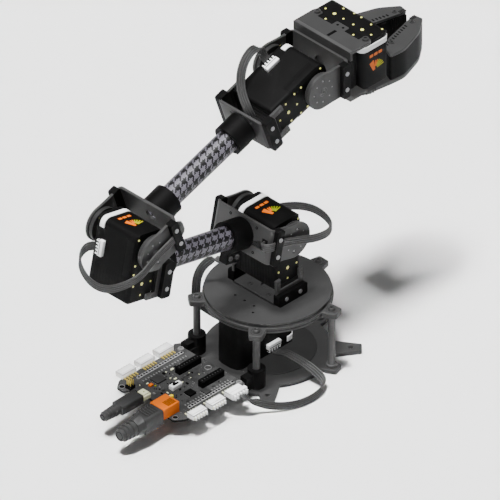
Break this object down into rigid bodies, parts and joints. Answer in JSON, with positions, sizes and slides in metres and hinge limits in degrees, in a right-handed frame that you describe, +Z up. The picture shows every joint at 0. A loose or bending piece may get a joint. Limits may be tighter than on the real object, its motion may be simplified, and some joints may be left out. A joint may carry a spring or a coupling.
{
  "type": "desktop robot arm",
  "caption": "Desktop robot arm kit on a round slewing base, with carbon tube links, servo joints, a two-finger geared gripper and a controller board.",
  "frame": {"origin": "centre of the round foot plate, on its underside, on the base turning axis", "axes": "+Z up, +X the way the gripper points at rest, away from the controller board"},
  "size_m": [0.3087, 0.1174, 0.2404],
  "materials": {
    "plate": "fine satin grey anodised sheet",
    "dark_plate": "darker satin grey",
    "post": "satin grey",
    "screw_steel": "machined steel",
    "servo_case": "finely textured black nylon",
    "light_strip": "frosted white",
    "moulded_black": "moulded black nylon",
    "carbon_tube": "woven two-tone braid under clear resin",
    "board": "grey solder mask",
    "socket_white": "white nylon sockets",
    "jack_orange": "bright orange moulding",
    "plug": "charcoal overmould",
    "ribbon": "charcoal four-wire ribbon"
  },
  "bodies": {
    "base": {"base_plate": "plate", "base_mat": "dark_plate", "top_plate": "plate", "post_1": "post", "post_2": "post", "post_3": "post", "post_4": "post", "post_5": "post", "post_bolt_1": "screw_steel", "post_bolt_2": "screw_steel", "post_bolt_3": "screw_steel", "post_bolt_4": "screw_steel", "post_bolt_5": "screw_steel", "base_servo_case": "servo_case", "base_servo_lens": "light_strip", "controller_board": "board", "power_jack": "jack_orange", "power_plug": "plug", "usb_plug": "plug", "board_clamp_near": "moulded_black", "board_clamp_far": "moulded_black", "board_cable": "ribbon", "turret_cable": "ribbon"},
    "turret": {"turntable": "plate", "base_horn": "dark_plate", "shoulder_cradle": "plate", "shoulder_servo_case": "servo_case", "shoulder_servo_lens": "light_strip"},
    "upper_arm": {"shoulder_yoke": "plate", "shoulder_horn": "dark_plate", "shoulder_idler": "dark_plate", "shoulder_tube_clamp": "moulded_black", "shoulder_elbow_tube": "carbon_tube", "elbow_tube_clamp": "moulded_black", "elbow_cradle": "plate", "elbow_servo_case": "servo_case", "elbow_servo_lens": "light_strip", "shoulder_cable": "ribbon"},
    "forearm": {"forearm_yoke": "plate", "forearm_horn": "dark_plate", "forearm_idler": "dark_plate", "forearm_tube_clamp": "moulded_black", "forearm_wrist_tube": "carbon_tube", "wrist_tube_clamp": "moulded_black", "wrist_cradle": "plate", "wrist_servo_case": "servo_case", "wrist_servo_lens": "light_strip", "elbow_cable": "ribbon", "wrist_cable": "ribbon"},
    "hand": {"wrist_yoke": "plate", "wrist_horn": "dark_plate", "wrist_idler": "dark_plate", "gripper_frame": "plate", "gripper_servo_case": "servo_case", "gripper_servo_lens": "light_strip"},
    "jaw_near": {"jaw_plate_near": "plate", "jaw_grip_near": "moulded_black"},
    "jaw_far": {"jaw_plate_far": "plate", "jaw_grip_far": "moulded_black"},
    "power_switch": {"switch_slider": "socket_white"}
  },
  "joints": [
    {"name": "base_yaw", "type": "hinge", "parent": "base", "child": "turret", "pos_m": [0, 0, 0.053], "axis": [0, 0, 1], "range_deg": [-90, 90], "deforming": ["turret_cable"]},
    {"name": "shoulder_pitch", "type": "hinge", "parent": "turret", "child": "upper_arm", "pos_m": [0, 0, 0.1049], "axis": [0, 1, 0], "range_deg": [-25, 70], "deforming": ["shoulder_cable"]},
    {"name": "elbow_pitch", "type": "hinge", "parent": "upper_arm", "child": "forearm", "pos_m": [-0.13388, 0, 0.16045], "axis": [0, -1, 0], "range_deg": [-22, 150], "deforming": ["elbow_cable"]},
    {"name": "wrist_pitch", "type": "hinge", "parent": "forearm", "child": "hand", "pos_m": [0.02611, 0, 0.21491], "axis": [0, 1, 0], "range_deg": [-60, 60]},
    {"name": "jaw_near_turn", "type": "hinge", "parent": "hand", "child": "jaw_near", "pos_m": [0.07711, -0.01325, 0.19], "axis": [0, 0, -1], "range_deg": [-2.5, 45]},
    {"name": "jaw_far_turn", "type": "hinge", "parent": "hand", "child": "jaw_far", "pos_m": [0.07711, 0.01325, 0.19], "axis": [0, 0, -1], "range_deg": [-45, 2.5]},
    {"name": "power_switch_slide", "type": "slide", "parent": "base", "child": "power_switch", "axis": [1, 0, 0], "range_m": [0, 0.0026]}
  ],
  "couplings": [
    {"joint": "jaw_far_turn", "follows": "jaw_near_turn", "ratio": -1}
  ]
}
